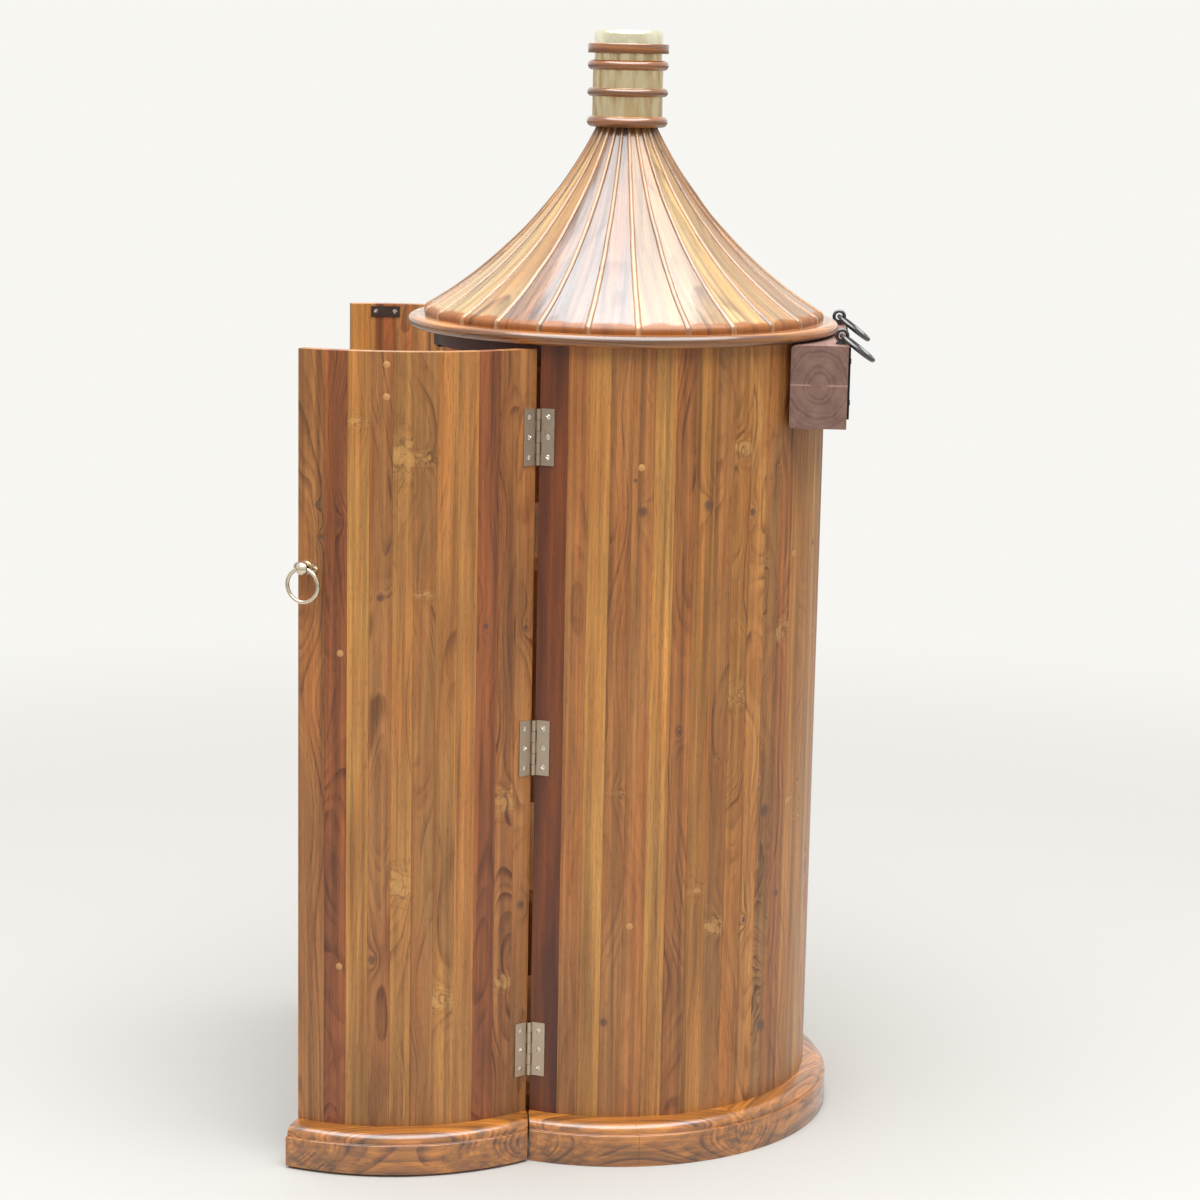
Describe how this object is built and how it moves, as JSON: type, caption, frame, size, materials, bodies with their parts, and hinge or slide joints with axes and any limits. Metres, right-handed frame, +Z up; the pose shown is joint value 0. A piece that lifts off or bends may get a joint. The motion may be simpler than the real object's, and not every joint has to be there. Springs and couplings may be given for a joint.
{
  "type": "bottle-shaped bar cabinet",
  "caption": "Free-standing round bar cabinet of solid wooden staves, with curved double doors, a ribbed flared roof and a bottle-neck top with brass bands.",
  "frame": {"origin": "on the axis of the round body, at floor level", "axes": "+Z up, the meeting line of the shut doors faces -Y, +X is the viewer's right"},
  "size_m": [0.7792, 0.8011, 1.5287],
  "materials": {
    "stave_teak": "oiled teak staves, satin",
    "dark_teak": "dark red-brown hardwood, satin",
    "plinth_teak": "varnished teak moulding, semi-gloss",
    "plain_teak": "planed teak, satin",
    "beam_hardwood": "dark reddish hardwood, oiled",
    "dark_steel": "blackened steel",
    "steel": "zinc-plated steel",
    "brim_teak": "varnished teak, semi-gloss",
    "roof_teak": "varnished teak, semi-gloss",
    "rib_teak": "varnished teak, semi-gloss",
    "brass": "satin brass",
    "hinge_nickel": "grey-beige nickel plate"
  },
  "bodies": {
    "cabinet": {"wall_staves": "stave_teak", "hinge_stiles": "dark_teak", "plinth_segments": "plinth_teak", "base_bearers": "plain_teak", "bottom_board": "plain_teak", "lower_shelf": "plain_teak", "upper_shelf": "plain_teak", "shelf_cleats": "plain_teak", "bottle_rack_rails": "plain_teak", "top_board": "dark_teak", "glass_rack_hangers": "plain_teak", "glass_rack_runners": "plain_teak", "catch_magnets": "dark_steel", "rear_beam": "beam_hardwood", "beam_plate": "dark_steel", "eyebolts": "steel", "brim": "brim_teak", "roof_panels": "roof_teak", "roof_ribs": "rib_teak", "neck_core": "dark_teak", "neck_ring_lowest": "rib_teak", "neck_band_lower": "brass", "neck_ring_lower": "rib_teak", "neck_band_middle": "brass", "neck_ring_upper": "rib_teak", "neck_band_upper": "brass", "neck_ring_top": "rib_teak", "neck_cap": "brass", "wall_hinge_leaves": "hinge_nickel", "hinge_pins": "hinge_nickel"},
    "right_door": {"right_door_staves": "stave_teak", "right_door_plinth": "plinth_teak", "right_door_hinge_leaves": "hinge_nickel", "right_strike_plate": "dark_steel", "right_pull_plate": "brass", "right_pull_boss": "brass"},
    "left_door": {"left_door_staves": "stave_teak", "left_door_plinth": "plinth_teak", "left_door_hinge_leaves": "hinge_nickel", "left_strike_plate": "dark_steel", "left_pull_plate": "brass", "left_pull_boss": "brass"},
    "right_pull_ring": {"right_pull_ring": "brass"},
    "left_pull_ring": {"left_pull_ring": "brass"},
    "right_beam_ring": {"right_beam_ring": "steel"},
    "left_beam_ring": {"left_beam_ring": "steel"}
  },
  "joints": [
    {"name": "right_door_swing", "type": "hinge", "parent": "cabinet", "child": "right_door", "pos_m": [0.26566, -0.11277, 0.575], "axis": [0, 0, 1], "range_deg": [-65, 2]},
    {"name": "right_pull_swing", "type": "hinge", "parent": "right_door", "child": "right_pull_ring", "pos_m": [0.32488, -0.41861, 0.825], "axis": [-0.3809, -0.9246, 0], "range_deg": [-9, 188]},
    {"name": "left_door_swing", "type": "hinge", "parent": "cabinet", "child": "left_door", "pos_m": [-0.26566, -0.11277, 0.575], "axis": [0, 0, -1], "range_deg": [-76, 2]},
    {"name": "left_pull_swing", "type": "hinge", "parent": "left_door", "child": "left_pull_ring", "pos_m": [-0.38658, -0.37191, 0.825], "axis": [-0.0968, 0.9953, 0], "range_deg": [-9, 188]},
    {"name": "right_beam_ring_swing", "type": "hinge", "parent": "cabinet", "child": "right_beam_ring", "pos_m": [0.16339, 0.29372, 1.1288], "axis": [0.9976, -0.0698, 0], "range_deg": [0, 200]},
    {"name": "left_beam_ring_swing", "type": "hinge", "parent": "cabinet", "child": "left_beam_ring", "pos_m": [-0.12092, 0.3136, 1.1288], "axis": [0.9976, -0.0698, 0], "range_deg": [0, 200]}
  ]
}
